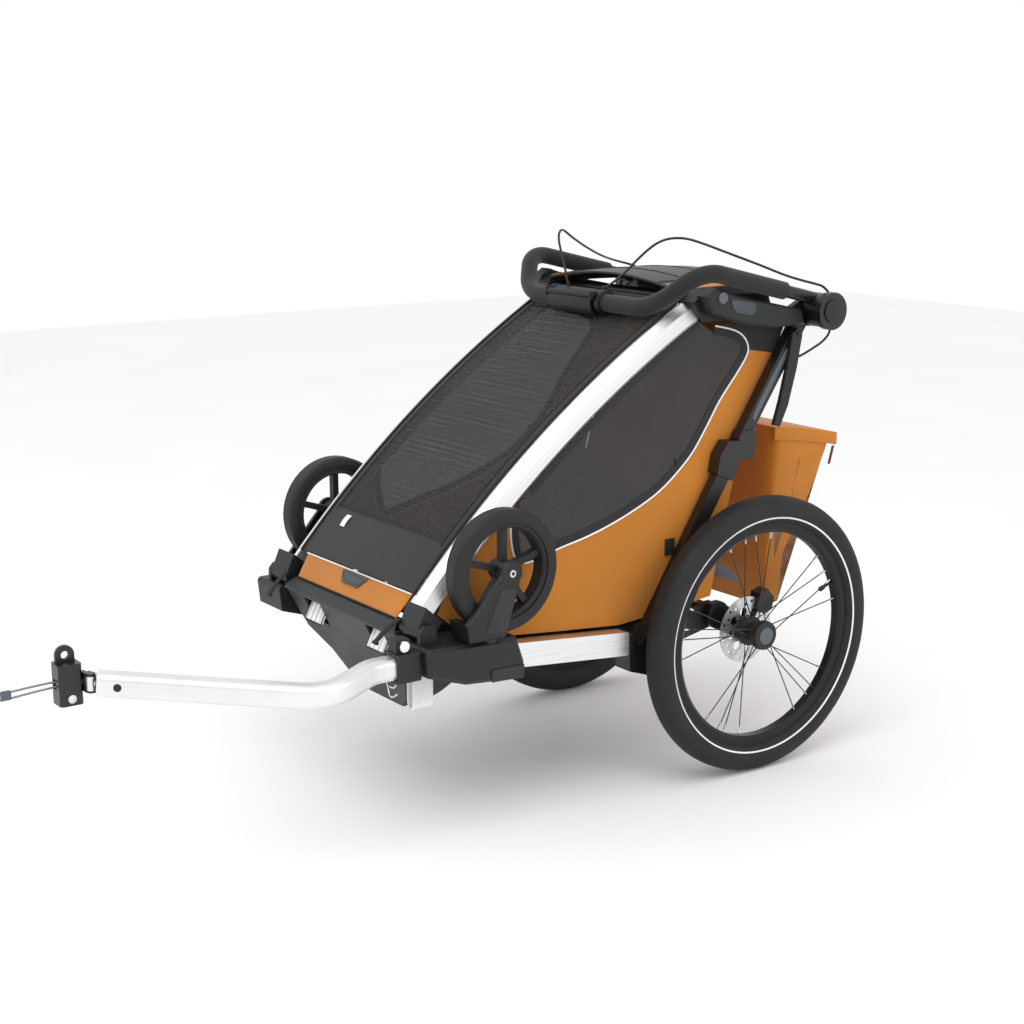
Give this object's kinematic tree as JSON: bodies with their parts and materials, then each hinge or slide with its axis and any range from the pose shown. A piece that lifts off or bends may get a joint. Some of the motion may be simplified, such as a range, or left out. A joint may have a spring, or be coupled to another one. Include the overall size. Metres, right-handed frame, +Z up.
{
  "type": "child bicycle trailer",
  "caption": "Two-wheeled child bicycle trailer with folding fabric cabin, turning handlebar, stowed stroller wheels, rear bag and side hitch arm.",
  "frame": {"origin": "centre of the footprint without the safety leash, on the ground under the big wheels", "axes": "+Z up, -Y towards the hitch and the bicycle, +X to the trailer's left"},
  "size_m": [0.618, 1.7377, 0.9574],
  "materials": {
    "rubber_black": "matte",
    "foam_black": "matte",
    "plastic_black": "matte",
    "plastic_grey": "satin",
    "rim_black": "satin",
    "aluminium_bright": "satin",
    "steel_black": "satin",
    "steel_bright": "polished",
    "fabric_gold": "matte",
    "fabric_dark": "matte",
    "mesh_grey": "matte",
    "webbing_white": "matte",
    "reflector_clear": "gloss",
    "cable_black": "satin",
    "cable_coated": "satin"
  },
  "bodies": {
    "wheel_left": {"tyre_left": "rubber_black", "rim_left": "rim_black", "spokes_left": "steel_black", "hub_left": "plastic_black"},
    "hub_release_left": {"hub_button_left": "plastic_grey"},
    "swing_arm_left": {"suspension_left": "steel_black"},
    "fork_left": {"stroller_fork_left": "plastic_black"},
    "small_wheel_left": {"stroller_wheel_left": "plastic_black"},
    "lock_left": {"lock_button_left": "plastic_grey"},
    "paddle_left": {"fold_paddle_left": "plastic_black"},
    "strut_left": {"rear_strut_left": "steel_black"},
    "grip_release_left": {"grip_button_left": "plastic_grey"},
    "wheel_right": {"tyre_right": "rubber_black", "rim_right": "rim_black", "spokes_right": "steel_black", "hub_right": "plastic_black"},
    "hub_release_right": {"hub_button_right": "plastic_grey"},
    "swing_arm_right": {"suspension_right": "steel_black"},
    "fork_right": {"stroller_fork_right": "plastic_black"},
    "small_wheel_right": {"stroller_wheel_right": "plastic_black"},
    "lock_right": {"lock_button_right": "plastic_grey"},
    "paddle_right": {"fold_paddle_right": "plastic_black"},
    "strut_right": {"rear_strut_right": "steel_black"},
    "grip_release_right": {"grip_button_right": "plastic_grey"},
    "cabin": {"side_rail_left": "aluminium_bright", "side_rail_right": "aluminium_bright", "knuckles": "plastic_black", "top_bracket_left": "plastic_black", "top_bracket_right": "plastic_black", "uprights": "steel_black", "top_crossbar": "steel_black", "front_cover": "mesh_grey", "front_band": "fabric_gold", "canopy_roof": "fabric_dark", "lower_cables": "cable_black"},
    "handle": {"handlebar": "steel_black", "grip_foam": "foam_black", "console": "plastic_black", "upper_cables": "cable_black"},
    "lever": {"brake_lever": "plastic_black"},
    "arm": {"hitch_arm": "aluminium_bright"},
    "pin": {"hitch_pin": "steel_bright"},
    "swivel": {"hitch_swivel": "steel_black"},
    "coupler": {"hitch_head": "steel_black", "leash": "cable_coated"},
    "key_lock": {"hitch_lock": "steel_bright"},
    "chassis": {"cargo_bag": "fabric_gold", "floor_pan": "plastic_black", "front_base_left": "plastic_black", "front_base_right": "plastic_black", "hitch_receiver": "plastic_black", "lower_rails": "aluminium_bright", "nose_shell": "plastic_grey", "rear_chassis": "steel_black", "rear_panel": "fabric_gold", "reflectors": "reflector_clear", "seat": "fabric_dark", "side_panel_left": "fabric_gold", "side_panel_right": "fabric_gold", "strap_loop": "webbing_white"}
  },
  "joints": [
    {"name": "cabin_fold", "type": "hinge", "parent": "chassis", "child": "cabin", "pos_m": [0, -0.215, 0.361], "axis": [-1, 0, 0], "range_deg": [0, 18], "deforming": ["side_panel_left", "side_panel_right", "rear_panel", "cargo_bag"]},
    {"name": "handle_turn", "type": "hinge", "parent": "cabin", "child": "handle", "pos_m": [0, 0.616, 0.821], "axis": [-1, 0, 0], "range_deg": [0, 180]},
    {"name": "brake_lever_pull", "type": "hinge", "parent": "handle", "child": "lever", "pos_m": [0, 0.264, 0.849], "axis": [-1, 0, 0], "range_deg": [0, 15]},
    {"name": "hitch_yaw", "type": "hinge", "parent": "arm", "child": "swivel", "pos_m": [0.1085, -0.72, 0.336], "axis": [0, 0, 1], "range_deg": [-35, 35]},
    {"name": "hitch_lean", "type": "hinge", "parent": "swivel", "child": "coupler", "pos_m": [0.093, -0.73, 0.336], "axis": [0, 1, 0], "range_deg": [-20, 20]},
    {"name": "hitch_key_turn", "type": "hinge", "parent": "coupler", "child": "key_lock", "pos_m": [0.098, -0.748, 0.313], "axis": [1, 0, 0], "range_deg": [0, 90]},
    {"name": "hitch_arm_draw", "type": "slide", "parent": "chassis", "child": "arm", "axis": [0, -1, 0], "range_m": [0, 0.04]},
    {"name": "hitch_pin_pull", "type": "slide", "parent": "chassis", "child": "pin", "axis": [1, 0, 0], "range_m": [0, 0.03]},
    {"name": "wheel_spin_left", "type": "hinge", "parent": "swing_arm_left", "child": "wheel_left", "pos_m": [0.285, 0.47, 0.253], "axis": [1, 0, 0], "continuous": true},
    {"name": "hub_button_press_left", "type": "slide", "parent": "wheel_left", "child": "hub_release_left", "axis": [-1, 0, 0], "range_m": [0, 0.002]},
    {"name": "suspension_swing_left", "type": "hinge", "parent": "chassis", "child": "swing_arm_left", "pos_m": [0.219, 0.424, 0.282], "axis": [1, 0, 0], "range_deg": [-4, 4]},
    {"name": "fork_lift_left", "type": "slide", "parent": "chassis", "child": "fork_left", "axis": [0, 0.2689, 0.9632], "range_m": [0, 0.03]},
    {"name": "stroller_wheel_spin_left", "type": "hinge", "parent": "fork_left", "child": "small_wheel_left", "pos_m": [0.27, -0.083, 0.45], "axis": [1, 0, 0], "continuous": true},
    {"name": "lock_button_press_left", "type": "slide", "parent": "cabin", "child": "lock_left", "axis": [-1, 0, 0], "range_m": [0, 0.003]},
    {"name": "fold_paddle_pull_left", "type": "hinge", "parent": "cabin", "child": "paddle_left", "pos_m": [0.2505, 0.567, 0.783], "axis": [1, 0, 0], "range_deg": [0, 25]},
    {"name": "grip_button_press_left", "type": "slide", "parent": "handle", "child": "grip_release_left", "axis": [-1, 0, 0], "range_m": [0, 0.004]},
    {"name": "wheel_spin_right", "type": "hinge", "parent": "swing_arm_right", "child": "wheel_right", "pos_m": [-0.285, 0.47, 0.253], "axis": [1, 0, 0], "continuous": true},
    {"name": "hub_button_press_right", "type": "slide", "parent": "wheel_right", "child": "hub_release_right", "axis": [1, 0, 0], "range_m": [0, 0.002]},
    {"name": "suspension_swing_right", "type": "hinge", "parent": "chassis", "child": "swing_arm_right", "pos_m": [-0.219, 0.424, 0.282], "axis": [1, 0, 0], "range_deg": [-4, 4]},
    {"name": "fork_lift_right", "type": "slide", "parent": "chassis", "child": "fork_right", "axis": [0, 0.2689, 0.9632], "range_m": [0, 0.03]},
    {"name": "stroller_wheel_spin_right", "type": "hinge", "parent": "fork_right", "child": "small_wheel_right", "pos_m": [-0.27, -0.083, 0.45], "axis": [1, 0, 0], "continuous": true},
    {"name": "lock_button_press_right", "type": "slide", "parent": "cabin", "child": "lock_right", "axis": [1, 0, 0], "range_m": [0, 0.003]},
    {"name": "fold_paddle_pull_right", "type": "hinge", "parent": "cabin", "child": "paddle_right", "pos_m": [-0.2505, 0.567, 0.783], "axis": [1, 0, 0], "range_deg": [0, 25]},
    {"name": "grip_button_press_right", "type": "slide", "parent": "handle", "child": "grip_release_right", "axis": [1, 0, 0], "range_m": [0, 0.004]},
    {"name": "strut_fold_left", "type": "hinge", "parent": "chassis", "child": "strut_left", "pos_m": [0.235, 0.235, 0.262], "axis": [1, 0, 0], "range_deg": [0, 45]},
    {"name": "strut_fold_right", "type": "hinge", "parent": "chassis", "child": "strut_right", "pos_m": [-0.235, 0.235, 0.262], "axis": [1, 0, 0], "range_deg": [0, 45]}
  ],
  "couplings": [
    {"joint": "strut_fold_right", "follows": "strut_fold_left", "ratio": 1}
  ]
}
